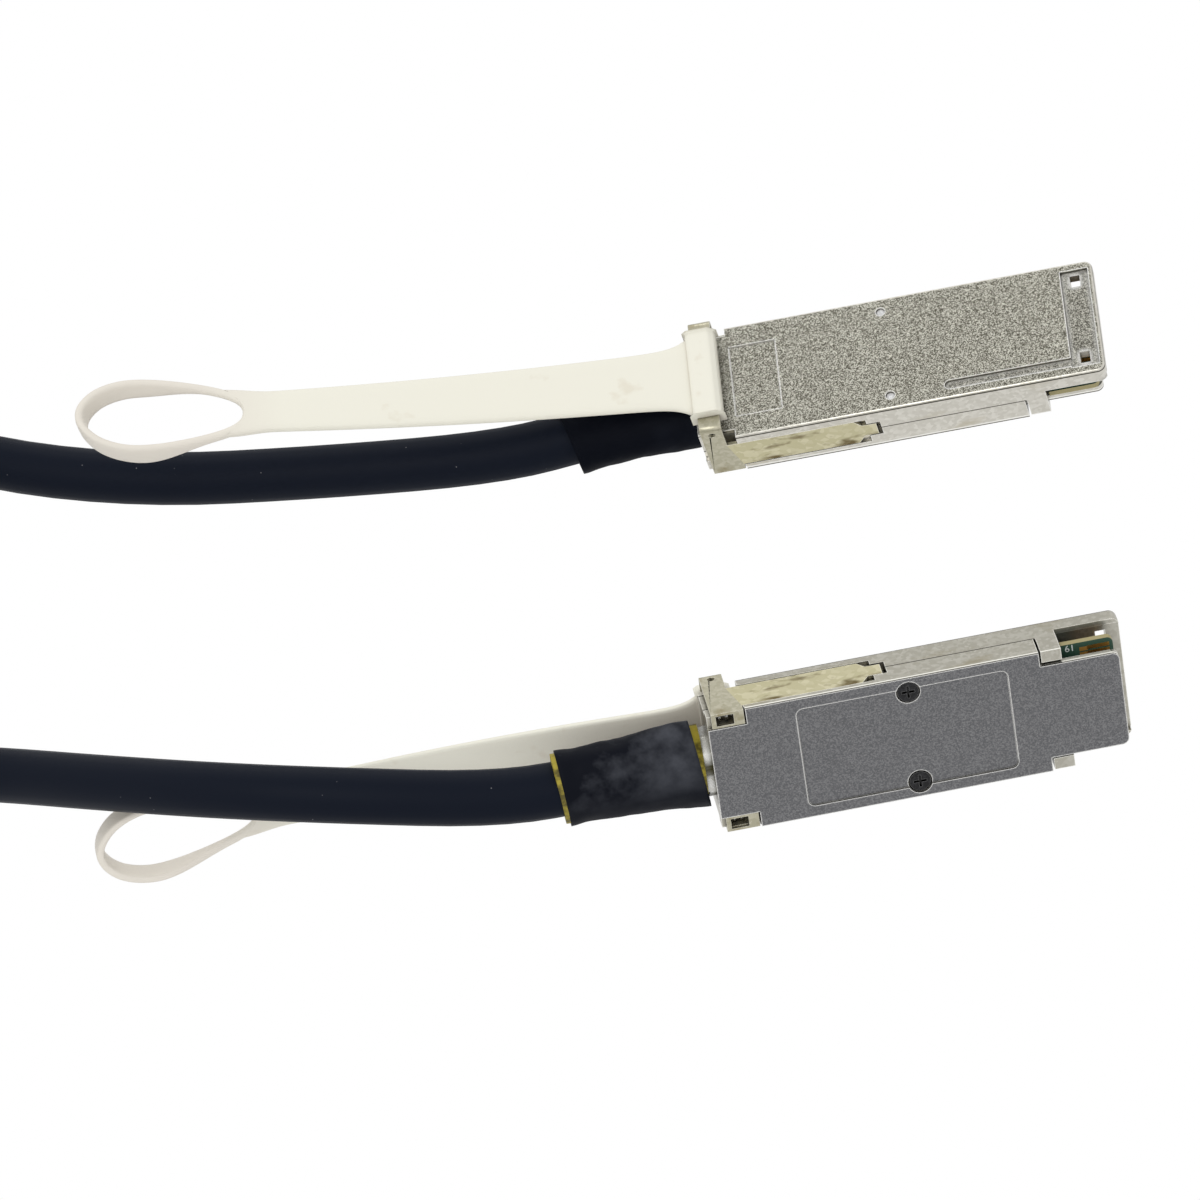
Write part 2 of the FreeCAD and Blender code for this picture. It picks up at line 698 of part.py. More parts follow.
def memory_chip(label, place):
    body = new_body(label, place)
    rear = -size("chip_place") - size("chip_length") / 2
    half = size("chip_width") / 2
    pad(body, "XY", card_top, card_top + size("chip_height"), [box(rear, rear + size("chip_length"), -half, half)])
    return body


def crimp_ferrule(label, place):
    body = new_body(label, place)
    pad(body, "YZ", ferrule_rear, ferrule_front, [ferrule_outline(ZERO)])
    pocket(body, "YZ", ferrule_rear, ferrule_front, [bundle_outline(ZERO)])
    return body


def bundle_outline(gap):
    """The flattened bundle of wires that the ferrule is crimped around."""
    wide = size("ferrule_radius") - size("ferrule_wall") - gap
    tall = size("ferrule_flat") - size("ferrule_wall") - gap
    return box(-wide, wide, axis_height - tall, axis_height + tall)


def wire_pairs(label, place):
    """The shielded bundle inside the ferrule and the eight wire pairs that fan out to the card."""
    body = new_body(label, place)
    pad(body, "YZ", ferrule_rear, ferrule_front, [bundle_outline(size("ferrule_clearance"))])
    half = size("pair_width") / 2
    near = card_rear - size("pair_lap")
    far = card_rear + size("pair_lap")
    ribbons = []
    for place_in_row in (-1.5, -0.5, 0.5, 1.5):
        root, end = size("pair_root_pitch") * place_in_row, size("pair_card_pitch") * place_in_row
        ribbons.append([(ferrule_front, root - half), (near, end - half), (far, end - half),
                        (far, end + half), (near, end + half), (ferrule_front, root + half)])
    pad(body, "XY", card_top, card_top + size("pair_height"), ribbons)
    pad(body, "XY", size("card_low") - size("pair_height"), size("card_low"), ribbons)
    return body


def oval_loft(label, start, stop, shrink):
    """A tapering oval solid along -X, from start to stop behind the ferrule."""
    ovals = []
    for spot, wide in ((start, size("sleeve_root_width")), (stop, size("sleeve_end_width"))):
        oval = doc.addObject("Part::Ellipse", f"{label}_oval")
        oval.Placement = Placement(Vector(-plain(spot), 0, 0), Rotation(Vector(1, 1, 1), 120))
        bind(oval, "Placement.Base.x", -spot)
        bind(oval, "MajorRadius", wide / 2 - shrink)
        bind(oval, "MinorRadius", size("sleeve_height") / 2 - shrink)
        ovals.append(oval)
    loft = doc.addObject("Part::Loft", f"{label}_loft")
    loft.Sections = ovals
    loft.Solid = True
    loft.Ruled = True
    return loft


def wrapped_end(plug, place, exit_place):
    """The yellow tape around the cable behind the ferrule, and the black shrink sleeve over it."""
    gap, wall = size("sleeve_gap"), size("sleeve_wall")
    stop = gap + size("sleeve_length")
    core = doc.addObject("Part::Cylinder", f"cable_space_{plug}")
    bind(core, "Radius", cable_radius)
    bind(core, "Height", (stop + gap) * 1.2)
    core.Placement = Placement(Vector(0, 0, 0), Rotation(Vector(0, 1, 0), -90))
    tape = doc.addObject("Part::Cut", f"tape_collar_{plug}")
    tape.Base = oval_loft(f"tape_{plug}", ZERO, stop + gap, wall)
    tape.Tool = core
    sleeve = doc.addObject("Part::Cut", f"heat_shrink_{plug}")
    sleeve.Base = oval_loft(f"sleeve_{plug}", gap, stop, ZERO)
    sleeve.Tool = oval_loft(f"sleeve_inside_{plug}", ZERO, stop + gap, wall)
    for part in (tape, sleeve):
        part.Label = part.Name
        part.Placement = place.multiply(exit_place)
    return [tape, sleeve]


def plug(name, place, exit_place, rise, sway):
    """One complete plug at its place. Every piece but the latch and its tab stays with the housing."""
    return [
        top_shell(f"top_shell_{name}", place),
        bottom_cover(f"bottom_cover_{name}", place),
        cover_screws(f"cover_screws_{name}", place),
        latch_frame(f"latch_frame_{name}", place),
        latch_springs(f"latch_springs_{name}", place),
        pull_tab(f"pull_tab_{name}", place, rise, sway),
        paddle_card(f"paddle_card_{name}", place),
        card_contacts(f"card_contacts_{name}", place),
        memory_chip(f"memory_chip_{name}", place),
        crimp_ferrule(f"crimp_ferrule_{name}", place),
        wire_pairs(f"wire_pairs_{name}", place),
    ] + wrapped_end(name, place, exit_place)


# ---------------------------------------------------------------- cable
def rounded_path(points):
    """Straight runs joined by tangent arcs, as one wire. Each arc takes 45 % of the shorter run beside it."""
    edges = []
    start = points[0]
    for before, corner, after in zip(points, points[1:], points[2:]):
        back, ahead = before - corner, after - corner
        reach = 0.45 * min(back.Length, ahead.Length)
        back.normalize()
        ahead.normalize()
        first, last = corner + back * reach, corner + ahead * reach
        bisector = (back + ahead).normalize()
        half_turn = (math.pi - back.getAngle(ahead)) / 2
        radius = reach / math.tan(half_turn)
        middle = corner + bisector * (radius / math.cos(half_turn) - radius)
        edges.append(Part.makeLine(start, first))
        edges.append(Part.Arc(first, middle, last).toShape())
        start = last
    edges.append(Part.makeLine(start, points[-1]))
    return Part.Wire(edges)


def cable_run(label, points, coil):
    """The free part of the cable from a ferrule to the coil, where it is trimmed by the coil's own shape."""
    path = doc.addObject("Part::Feature", f"{label}_path")
    path.Shape = rounded_path(points)
    ring = doc.addObject("Part::Circle", f"{label}_section")
    bind(ring, "Radius", cable_radius)
    ring.Placement = Placement(points[0], Rotation(Vector(0, 0, 1), points[1] - points[0]))
    tube = doc.addObject("Part::Sweep", f"{label}_tube")
    tube.Sections = [ring]
    tube.Spine = (path, [])
    tube.Solid = True
    tube.Transition = "Right corner"
    run = doc.addObject("Part::Cut", label)
    run.Label = label
    run.Base = tube
    run.Tool = coil
    return run


def turned_ring(label, inner, outer, bottom, top, corner):
    """A ring about COIL_CENTRE with a rounded rectangular section."""
    body = new_body(label, Placement(Vector(*COIL_CENTRE), Rotation()))
    sketch = new_sketch(body, "XZ", ZERO)
    add_polygon(sketch, box(inner, outer, bottom, top))
    ring = body.newObject("PartDesign::Revolution", f"{label}_turn")
    ring.Profile = sketch
    ring.ReferenceAxis = (sketch, ["V_Axis"])
    ring.Angle = 360.0
    body.Tip = ring
    doc.recompute()
    names = [f"Edge{n}" for n, edge in enumerate(ring.Shape.Edges, start=1) if len(edge.Vertexes) == 1]
    fillet = body.newObject("PartDesign::Fillet", f"{label}_round")
    fillet.Base = (ring, names)
    bind(fillet, "Radius", corner)
    body.Tip = fillet
    return body


def cable_coil(label):
    columns = size("coil_columns")
    wide = size("cable_diameter") * columns / 2
    top = size("coil_lift") + coil_height
    return turned_ring(label, size("coil_radius") - wide, size("coil_radius") + wide, size("coil_lift"), top,
                       cable_radius)


def cable_tie(label, angle):
    """A hook-and-loop strap around the coil's section, at an angle about the coil."""
    body = new_body(label, Placement(Vector(*COIL_CENTRE), Rotation(Vector(0, 0, 1), angle)))
    half = size("tie_width") / 2
    wide = size("cable_diameter") * size("coil_columns") / 2 + size("tie_gap")
    inner, outer = size("coil_radius") - wide - size("tie_sag"), size("coil_radius") + wide
    bottom = size("coil_lift") - size("tie_gap")
    top = size("coil_lift") + coil_height + size("tie_gap")
    thick = size("tie_thickness")
    pad(body, "XY", bottom - thick, top + thick, [box(inner - thick, outer + thick, -half, half)])
    pocket(body, "XY", bottom, top, [box(inner, outer, -half, half)])
    return body


# Places of the plugs and the free cable, in the frame of plug A.
PLUG_B_PLACE = Placement(Vector(-1.92, -63.81, 12.05), Rotation(6.063, 9.073, -118.90))
EXIT_A = Placement(Vector(plain(ferrule_rear), 0, plain(axis_height)), Rotation(Vector(0, 0, 1), 5.5))
EXIT_B = Placement(Vector(plain(ferrule_rear), 0, plain(axis_height)), Rotation())
FIRST_RUN = 27.0
ROUTE_A = [(-112, 0.6, 3.95), (-138, 4.6, 3.95), (-163, 13.4, 3.95), (-189, 29.5, 4.1), (-220.2, 48.9, 4.65)]
ROUTE_B = [(-109.1, -67.6, 30.0), (-125.3, -63.0, 29.1), (-142.5, -54.5, 22.4), (-160.3, -44.2, 13.2),
           (-182.0, -37.6, 11.0), (-209.0, -37.2, 14.8), (-245.0, -37.2, 17.85)]
COIL_CENTRE = (-240.0, 8.0, 0.0)


def route(place, exit_place, points):
    """The cable's corner points: straight out of the ferrule first, then along the given points."""
    outlet = place.multiply(exit_place)
    first = [outlet.Base, outlet.multVec(Vector(-FIRST_RUN, 0, 0))]
    return first + [Vector(*point) for point in points]


pieces = plug("a", Placement(), EXIT_A, 0.13, 0.0) + plug("b", PLUG_B_PLACE, EXIT_B, 0.15, 0.0016)
coil_piece = cable_coil("cable_coil")
pieces += [
    coil_piece,
    cable_run("cable_run_a", route(Placement(), EXIT_A, ROUTE_A), coil_piece),
    cable_run("cable_run_b", route(PLUG_B_PLACE, EXIT_B, ROUTE_B), coil_piece),
    cable_tie("cable_tie", 150.0),
]
doc.recompute()

# ---------------------------------------------------------------- check and export
for item in doc.Objects:
    if "Invalid" in item.State or "Error" in item.State:
        raise RuntimeError(f"{item.Label} did not build: {item.getStatusString()}")
os.makedirs("parts", exist_ok=True)
for piece in pieces:
    if piece.Shape.isNull() or not piece.Shape.isValid():
        raise RuntimeError(f"{piece.Label} is not a sound shape")
    piece.Shape.exportStep(f"parts/{piece.Label}.step")
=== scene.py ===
"""Looks of the direct attach copper cable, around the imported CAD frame.

Row frame in metres: +X out of plug A's nose, +Y to its left, +Z up, the surface at z = 0.
Plug B is the same plug, leaning on its edge with its underside to the camera.
Sizes of a plug's own pieces are in mm of that plug's frame, with the nose at x = 0 and the body behind it.
"""
import math
import bpy
from mathutils import Matrix, Vector, noise


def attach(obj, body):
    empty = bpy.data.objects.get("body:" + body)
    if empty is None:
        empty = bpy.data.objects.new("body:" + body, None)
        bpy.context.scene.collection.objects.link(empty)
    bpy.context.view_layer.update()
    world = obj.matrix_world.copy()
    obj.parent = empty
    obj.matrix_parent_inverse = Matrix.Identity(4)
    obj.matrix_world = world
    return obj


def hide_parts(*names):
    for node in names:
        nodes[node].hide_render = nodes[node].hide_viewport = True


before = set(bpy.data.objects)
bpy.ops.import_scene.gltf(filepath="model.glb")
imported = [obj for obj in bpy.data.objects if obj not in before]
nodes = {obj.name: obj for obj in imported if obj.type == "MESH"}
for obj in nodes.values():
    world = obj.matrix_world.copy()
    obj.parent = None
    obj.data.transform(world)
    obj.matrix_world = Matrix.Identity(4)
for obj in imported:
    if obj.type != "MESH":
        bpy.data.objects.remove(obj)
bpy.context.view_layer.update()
scene = bpy.context.scene


# ---- Camera: a long lens, high over the near side of the plugs and rolled a little
# Both plugs and both finger rings are in its frame; the put-away coil lies out of it, to the left.
CAMERA_PLACE = Vector((0.0891, -0.6824, 1.0538))
CAMERA_AHEAD = Vector((-0.131, 0.5241, -0.8415))
CAMERA_OVERHEAD = Vector((0.1784, 0.8475, 0.5000))
camera_data = bpy.data.cameras.new("camera")
camera_data.lens = 270.0
camera_data.sensor_width = 36.0
camera_data.clip_start = 0.05
camera = bpy.data.objects.new("camera", camera_data)
ahead = CAMERA_AHEAD.normalized()
right = ahead.cross(CAMERA_OVERHEAD).normalized()
up = right.cross(ahead)
turn = Matrix((right, up, -ahead)).transposed().to_4x4()
camera.matrix_world = Matrix.Translation(CAMERA_PLACE) @ turn
scene.collection.objects.link(camera)
scene.camera = camera


# ---- Studio: a white tent and a sheet of white paper, with two large soft lamps
# The camera and reflections see tent and paper as plain white; the light that falls on the object is softer.
def add_node(tree, kind, values=None, **settings):
    """A shader node with its settings; each socket in values gets a value or a link from another socket."""
    made = tree.nodes.new(kind)
    for name, value in settings.items():
        setattr(made, name, value)
    for name, value in (values or {}).items():
        if isinstance(value, bpy.types.NodeSocket):
            tree.links.new(value, made.inputs[name])
        else:
            made.inputs[name].default_value = value
    return made


def maths(tree, operation, first, second=0.0, **settings):
    """The value of one sum on two values or sockets."""
    return add_node(tree, "ShaderNodeMath", {0: first, 1: second}, operation=operation, **settings).outputs[0]


def seen_directly(tree):
    """1 for what the camera, a reflection or a see-through piece looks at, 0 for the light on surfaces."""
    path = add_node(tree, "ShaderNodeLightPath").outputs
    looked_at = maths(tree, "MAXIMUM", path["Is Camera Ray"], path["Is Glossy Ray"])
    return maths(tree, "MAXIMUM", looked_at, path["Is Transmission Ray"])


scene.view_settings.view_transform = "Standard"
tent = bpy.data.worlds.new("white tent")
scene.world = tent
tent.use_nodes = True
tree = tent.node_tree
tent_light = add_node(tree, "ShaderNodeMapRange", {
    "Value": seen_directly(tree), "To Min": 0.75, "To Max": 1.0})
tree.nodes["Background"].inputs["Color"].default_value = (1, 1, 1, 1)
tree.links.new(tent_light.outputs[0], tree.nodes["Background"].inputs["Strength"])

LIT_PLACE = Vector((-0.07, -0.03, 0))
LAMPS = [  # name, place, width, height in metres, and power in watts
    ("key lamp", (-0.25, -0.35, 0.75), 0.5, 0.35, 1.5),
    ("rear lamp", (-0.05, 0.75, 0.45), 0.6, 0.25, 1.0),
]
for name, place, width, height, power in LAMPS:
    lamp = bpy.data.lights.new(name, "AREA")
    lamp.shape = "RECTANGLE"
    lamp.size = width
    lamp.size_y = height
    lamp.energy = power
    stand = bpy.data.objects.new(name, lamp)
    stand.location = place
    stand.rotation_euler = (LIT_PLACE - Vector(place)).to_track_quat("-Z", "Y").to_euler()
    scene.collection.objects.link(stand)

paper = bpy.data.materials.new("white paper")
paper.use_nodes = True
tree = paper.node_tree
sheet = tree.nodes["Principled BSDF"]
sheet.inputs["Base Color"].default_value = (0.9, 0.9, 0.9, 1)
sheet.inputs["Roughness"].default_value = 1.0
sheet.inputs["Specular IOR Level"].default_value = 0.0
glow = add_node(tree, "ShaderNodeEmission", {"Strength": 1.0})
either = add_node(tree, "ShaderNodeMixShader", {
    0: seen_directly(tree), 1: sheet.outputs[0], 2: glow.outputs[0]})
tree.links.new(either.outputs[0], tree.nodes["Material Output"].inputs["Surface"])
PAPER_DEPTH = 0.0002
bpy.ops.mesh.primitive_plane_add(size=6, location=(0, 0, -PAPER_DEPTH))
floor = bpy.context.object
floor.name = "paper floor"
floor.data.materials.append(paper)


# ---- Top shells: zinc die castings, their tops blasted to a coarse sparkle
# The whole casting is nickel plated, so its walls and steps stay smooth and bright; the brighter rounded
# edges are a painted highlight.
PLUG_B = Matrix.Translation((-0.00192, -0.06381, 0.01205)) @ (
    Matrix.Rotation(math.radians(6.063), 4, "Z")
    @ Matrix.Rotation(math.radians(9.073), 4, "Y")
    @ Matrix.Rotation(math.radians(-118.90), 4, "X"))
PLUGS = {"a": Matrix(), "b": PLUG_B}


def new_group(name, inputs, outputs):
    """An empty node group with named inputs (name, kind, value) and outputs (name, kind)."""
    group = bpy.data.node_groups.new(name, "ShaderNodeTree")
    for label, kind, value in inputs:
        group.interface.new_socket(label, in_out="INPUT", socket_type=kind).default_value = value
    for label, kind in outputs:
        group.interface.new_socket(label, in_out="OUTPUT", socket_type=kind)
    return group, group.nodes.new("NodeGroupInput").outputs, group.nodes.new("NodeGroupOutput").inputs


def plug_place(tree):
    """The surface's own place in its plug, in mm."""
    return add_node(tree, "ShaderNodeAttribute", attribute_name="plug_mm").outputs["Vector"]


def share_between(tree, value, low, high, most=1.0):
    """0 where a value is at low, and most where it is at high."""
    return add_node(tree, "ShaderNodeMapRange", {
        "Value": value, "From Min": low, "From Max": high, "To Max": most}).outputs[0]


def blend(tree, factor, first, second):
    """The colour between two colours, by a value or a socket."""
    return add_node(tree, "ShaderNodeMix", {0: factor, 6: first, 7: second}, data_type="RGBA").outputs[2]


# blast speckle: a random tone for each small grain, with the grain's size in mm
speckle, given, result = new_group(
    "blast speckle", [("Grain", "NodeSocketFloat", 0.3), ("Dark", "NodeSocketColor", (0.1, 0.1, 0.1, 1)),
                      ("Light", "NodeSocketColor", (0.6, 0.6, 0.6, 1))],
    [("Colour", "NodeSocketColor")])
per_grain = maths(speckle, "DIVIDE", 1.0, given["Grain"])
in_grains = add_node(speckle, "ShaderNodeVectorMath", {0: plug_place(speckle), "Scale": per_grain},
                     operation="SCALE")
cells = add_node(speckle, "ShaderNodeTexVoronoi", {"Vector": in_grains.outputs[0], "Scale": 1.0})
chance = add_node(speckle, "ShaderNodeSeparateColor", {0: cells.outputs["Color"]}).outputs[0]
tone = share_between(speckle, chance, 0.3, 0.9)
speckle.links.new(blend(speckle, tone, given["Dark"], given["Light"]), result["Colour"])

# edges and hollows: where a corner is near, for a painted highlight along edges, and where the surface lies
# deep between others, for painted shade in hollows
edges, given, result = new_group(
    "edges and hollows", [("Width", "NodeSocketFloat", 0.00012), ("Reach", "NodeSocketFloat", 0.0005)],
    [("Edge", "NodeSocketFloat"), ("Hollow", "NodeSocketFloat")])
rounded = add_node(edges, "ShaderNodeBevel", {"Radius": given["Width"]}, samples=6)
flat = add_node(edges, "ShaderNodeNewGeometry")
alike = add_node(edges, "ShaderNodeVectorMath", {0: rounded.outputs[0], 1: flat.outputs["Normal"]},
                 operation="DOT_PRODUCT")
open_air = add_node(edges, "ShaderNodeAmbientOcclusion", {"Distance": given["Reach"]}, samples=6)
edges.links.new(share_between(edges, alike.outputs["Value"], 0.995, 0.88), result["Edge"])
edges.links.new(share_between(edges, open_air.outputs["AO"], 0.85, 0.3), result["Hollow"])

# stains: soft patches where a noise passes a level, real stains on most metals and, stretched into long
# streaks on the ferrule, a painted reflection; Patch says how fine it is along each axis, per mm
STAIN_STEEPNESS = 6.0
stains_and_reflection_streaks, given, result = new_group(
    "stains_and_reflection_streaks", [("Patch", "NodeSocketVector", (0.3, 0.3, 0.3)), ("Level", "NodeSocketFloat", 0.55)],
    [("Stain", "NodeSocketFloat")])
stretched = add_node(stains_and_reflection_streaks, "ShaderNodeVectorMath", {0: plug_place(stains_and_reflection_streaks), 1: given["Patch"]},
                     operation="MULTIPLY")
cloud = add_node(stains_and_reflection_streaks, "ShaderNodeTexNoise", {"Vector": stretched.outputs[0], "Scale": 1.0, "Detail": 3.0})
past_level = maths(stains_and_reflection_streaks, "SUBTRACT", cloud.outputs["Fac"], given["Level"])
stains_and_reflection_streaks.links.new(maths(stains_and_reflection_streaks, "MULTIPLY", past_level, STAIN_STEEPNESS, use_clamp=True), result["Stain"])


def band(tree, height, middle, half):
    """1 where a height in mm lies within half of middle, with an edge 0.06 mm soft."""
    away = maths(tree, "ABSOLUTE", maths(tree, "SUBTRACT", height, middle))
    return share_between(tree, away, half + 0.03, half - 0.03)


# wall lines: on the side walls, the joint of the castings behind the front post, a painted shade line under
# the top edge, and a painted shade line with a painted highlight over it along the bottom edge
POST_REAR = -11.9
JOINT_HEIGHT, TOP_LINE, FOOT_LINE, GLINT_LINE = 4.25, 8.16, 0.1, 0.42
LINE_HALF, GLINT_HALF = 0.1, 0.12
wall_lines, given, result = new_group(
    "wall lines", [], [("Seam", "NodeSocketFloat"), ("Glint", "NodeSocketFloat")])
axes = add_node(wall_lines, "ShaderNodeSeparateXYZ", {0: plug_place(wall_lines)}).outputs
behind_post = maths(wall_lines, "LESS_THAN", axes["X"], POST_REAR)
joint = maths(wall_lines, "MULTIPLY", band(wall_lines, axes["Z"], JOINT_HEIGHT, LINE_HALF), behind_post)
painted_shade_lines = maths(wall_lines, "MAXIMUM", band(wall_lines, axes["Z"], TOP_LINE, LINE_HALF),
             band(wall_lines, axes["Z"], FOOT_LINE, LINE_HALF))
wall_lines.links.new(maths(wall_lines, "MAXIMUM", joint, painted_shade_lines), result["Seam"])
wall_lines.links.new(band(wall_lines, axes["Z"], GLINT_LINE, GLINT_HALF), result["Glint"])


def plated(name, dark, light, grain, edge, hollow, metallic, roughness, width=0.00012, reach=0.0005,
           stain_and_reflection_streak=None, patch=(0.3, 0.3, 0.3), level=0.55, lines=False):
    """A plated metal: its grain (mm) between two tones, then stains, which on the ferrule are painted
    reflection streaks, a painted highlight on its edges, painted shade in its hollows, and wall lines.

    In metres, width is how far from a corner the edge tone goes, and reach is how far apart the surfaces
    around a hollow may be."""
    made = bpy.data.materials.new(name)
    made.use_nodes = True
    tree = made.node_tree
    surface = tree.nodes["Principled BSDF"]
    grains = add_node(tree, "ShaderNodeGroup", node_tree=speckle)
    grains.inputs["Grain"].default_value = grain
    grains.inputs["Dark"].default_value = (*dark, 1)
    grains.inputs["Light"].default_value = (*light, 1)
    colour = grains.outputs["Colour"]
    if stain_and_reflection_streak:
        marks = add_node(tree, "ShaderNodeGroup", node_tree=stains_and_reflection_streaks)
        marks.inputs["Patch"].default_value = patch
        marks.inputs["Level"].default_value = level
        colour = blend(tree, marks.outputs["Stain"], colour, (*stain_and_reflection_streak, 1))
    # a painted highlight along the corners and painted shade in the hollows
    edge_highlight_and_hollow_shade = add_node(tree, "ShaderNodeGroup", node_tree=edges)
    edge_highlight_and_hollow_shade.inputs["Width"].default_value = width
    edge_highlight_and_hollow_shade.inputs["Reach"].default_value = reach
    colour = blend(tree, edge_highlight_and_hollow_shade.outputs["Edge"], colour, (*edge, 1))
    colour = blend(tree, edge_highlight_and_hollow_shade.outputs["Hollow"], colour, (*hollow, 1))
    # the wall lines: the castings' joint, painted shade lines along the top and bottom edges, and a painted
    # highlight (the glint) over the bottom one
    if lines:
        drawn = add_node(tree, "ShaderNodeGroup", node_tree=wall_lines)
        colour = blend(tree, drawn.outputs["Glint"], colour, (*edge, 1))
        colour = blend(tree, drawn.outputs["Seam"], colour, (*hollow, 1))
    tree.links.new(colour, surface.inputs["Base Color"])
    surface.inputs["Metallic"].default_value = metallic
    surface.inputs["Roughness"].default_value = roughness
    return made


CORNER_WELD = 0.000002
CORNER_ANGLE = math.radians(40)


def dress(name, materials, choose=None, edge=0.0):
    """Gives one CAD node of both plugs its materials and, with edge in metres, rounded corners.

    choose(middle, normal, letter) picks one of the materials from a face's middle in mm and its direction.
    Each point's place in its plug is kept in mm, for the grain, the stains and the ferrule's painted
    reflection streaks."""
    for letter, place in PLUGS.items():
        item = nodes[f"{name}_{letter}"]
        in_plug = place.inverted() @ item.matrix_world
        kept = item.data.attributes.new("plug_mm", "FLOAT_VECTOR", "POINT")
        for point, value in zip(item.data.vertices, kept.data):
            value.vector = 1000 * (in_plug @ point.co)
        item.data.materials.clear()
        for material in materials:
            item.data.materials.append(material)
        for face in item.data.polygons:
            middle = 1000 * (in_plug @ face.center)
            normal = in_plug.to_3x3() @ face.normal
            chosen = choose(middle, normal, letter) if choose else materials[0]
            face.material_index = materials.index(chosen)
        if edge:
            weld = item.modifiers.new("join corners", "WELD")
            weld.merge_threshold = CORNER_WELD
            corners = item.modifiers.new("round edges", "BEVEL")
            corners.width = edge
            corners.segments = 2
            corners.limit_method = "ANGLE"
            corners.angle_limit = CORNER_ANGLE
            corners.harden_normals = True


# In every plated material, edge is the tone of a painted highlight along corners and hollow that of painted
# shade in hollows.
plated_wall = plated(
    "plated wall", dark=(0.56, 0.54, 0.48), light=(0.66, 0.64, 0.58), grain=0.6, edge=(0.88, 0.87, 0.83),
    hollow=(0.06, 0.055, 0.04), metallic=0.85, roughness=0.3, width=0.00022,
    stain_and_reflection_streak=(0.46, 0.42, 0.32), patch=(0.12, 0.3, 0.3), level=0.56, lines=True)
# Plug b's walls: a darker copy of the wall plate, painted shade.
shaded_wall = plated(
    "shaded wall", dark=(0.37, 0.355, 0.30), light=(0.46, 0.445, 0.39), grain=0.5, edge=(0.92, 0.91, 0.84),
    hollow=(0.03, 0.027, 0.018), metallic=0.85, roughness=0.3, width=0.00022,
    stain_and_reflection_streak=(0.30, 0.27, 0.19), patch=(0.12, 0.3, 0.3), level=0.54, lines=True)
# Faces that look down: a darker copy of the wall plate without wall lines, painted shade.
plain_foot = plated(
    "plain foot", dark=(0.40, 0.385, 0.33), light=(0.48, 0.465, 0.41), grain=0.5, edge=(0.92, 0.91, 0.84),
    hollow=(0.03, 0.027, 0.018), metallic=0.85, roughness=0.3, width=0.0002)
blasted_top = plated(
    "blasted top", dark=(0.10, 0.093, 0.07), light=(0.62, 0.61, 0.53), grain=0.12, edge=(0.95, 0.95, 0.93),
    hollow=(0.05, 0.045, 0.035), metallic=0.8, roughness=0.42, width=0.0003, reach=0.0007)
# Recess and groove floors: a little darker than the top, painted shade, and a wide smooth mid-grey band along
# their steps, a painted reflection of the rounded steps.
blasted_floor = plated(
    "blasted recess", dark=(0.08, 0.075, 0.06), light=(0.55, 0.54, 0.47), grain=0.12,
    edge=(0.62, 0.615, 0.59), hollow=(0.025, 0.022, 0.015), metallic=0.8, roughness=0.42,
    width=0.0012, reach=0.0006)
WALLS = {"a": plated_wall, "b": shaded_wall}
LOWEST_BLAST, TOP_LEVEL = 7.9, 8.25


def shell_face(middle, normal, letter):
    """The top is blasted, also in its groove and nose recess; walls, steps and what looks down are plain."""
    if normal.z < -0.9:
        return plain_foot
    if normal.z < 0.97 or middle.z < LOWEST_BLAST:
        return WALLS[letter]
    return blasted_top if middle.z > TOP_LEVEL else blasted_floor


dress("top_shell", [plated_wall, blasted_top, blasted_floor, shaded_wall, plain_foot],
      shell_face, edge=0.00014)


# ---- Bottom covers: the same casting and plate, their underside in a finer and darker blast
# Each cover lies in its top shell and is held by two screws from below.
blasted_base = plated(
    "blasted base", dark=(0.12, 0.121, 0.127), light=(0.21, 0.21, 0.215), grain=0.15,
    edge=(0.92, 0.91, 0.88), hollow=(0.03, 0.03, 0.03), metallic=0.8, roughness=0.4, width=0.00028)
BASE_LEVEL = 0.6


def cover_face(middle, normal, letter):
    """The underside is blasted, also in its panel; all else is plain plate."""
    return blasted_base if normal.z < -0.97 and middle.z < BASE_LEVEL else WALLS[letter]


dress("bottom_cover", [plated_wall, blasted_base, shaded_wall], cover_face, edge=0.00012)


# ---- Cover screws: cross recessed steel screws with black oxide heads, driven from below
# Their bare tips show in the top shell's holes.
screw_black = plated(
    "black oxide", dark=(0.010, 0.010, 0.011), light=(0.022, 0.022, 0.024), grain=0.3,
    edge=(0.16, 0.16, 0.16), hollow=(0.004, 0.004, 0.004), metallic=0.6, roughness=0.35)
bare_tip = plated(
    "bare tip", dark=(0.6, 0.6, 0.6), light=(0.8, 0.8, 0.8), grain=0.3, edge=(0.9, 0.9, 0.9),
    hollow=(0.1, 0.1, 0.1), metallic=0.85, roughness=0.3)
TIP_LEVEL = 7.5


def screw_face(middle, normal, letter):
    """The tip is bare, the head and shank are black."""
    return bare_tip if middle.z > TIP_LEVEL else screw_black


dress("cover_screws", [screw_black, bare_tip], screw_face)


# ---- Latch frames: one stamped and bent steel sheet each, nickel plated, stained brown by handling
# The arms lie in the housing's side channels; two coil springs push the frame back home.
latch_sheet = plated(
    "stained sheet", dark=(0.50, 0.465, 0.29), light=(0.60, 0.56, 0.38), grain=0.9, edge=(0.88, 0.86, 0.78),
    hollow=(0.04, 0.035, 0.02), metallic=0.85, roughness=0.33, width=0.0002,
    stain_and_reflection_streak=(0.13, 0.095, 0.03), patch=(0.26, 0.6, 0.5), level=0.54)
ear_sheet = plated(
    "clean sheet", dark=(0.40, 0.38, 0.28), light=(0.48, 0.455, 0.35), grain=0.5, edge=(0.82, 0.80, 0.72),
    hollow=(0.05, 0.045, 0.03), metallic=0.85, roughness=0.35,
    stain_and_reflection_streak=(0.25, 0.21, 0.11), patch=(0.4, 0.4, 0.3), level=0.55)
